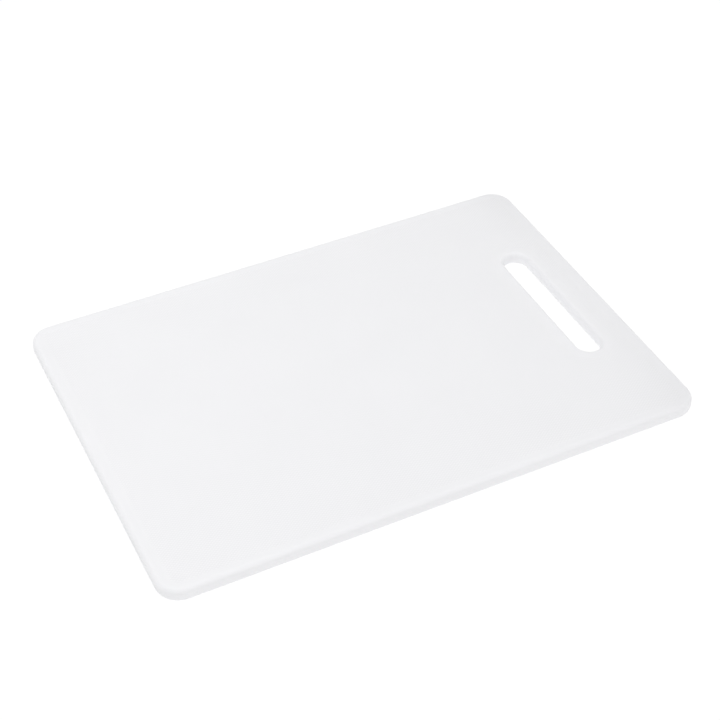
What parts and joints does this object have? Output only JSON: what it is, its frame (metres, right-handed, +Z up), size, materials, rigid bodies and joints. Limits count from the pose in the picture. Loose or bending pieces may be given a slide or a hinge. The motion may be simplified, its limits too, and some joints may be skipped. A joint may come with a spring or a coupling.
{
  "type": "cutting board",
  "caption": "Flat rectangular plastic cutting board with rounded corners, rounded rims and a long hand slot beside one short edge.",
  "frame": {"origin": "centre of the underside, which lies on z = 0", "axes": "+X along the long edges, towards the short edge with the hand slot; +Y along the short edges; +Z up through the thickness"},
  "size_m": [0.34, 0.24, 0.009],
  "materials": {
    "board": "natural white polyethylene, fine moulded texture on the cutting face, satin"
  },
  "bodies": {
    "root": {"board": "board"}
  },
  "joints": []
}
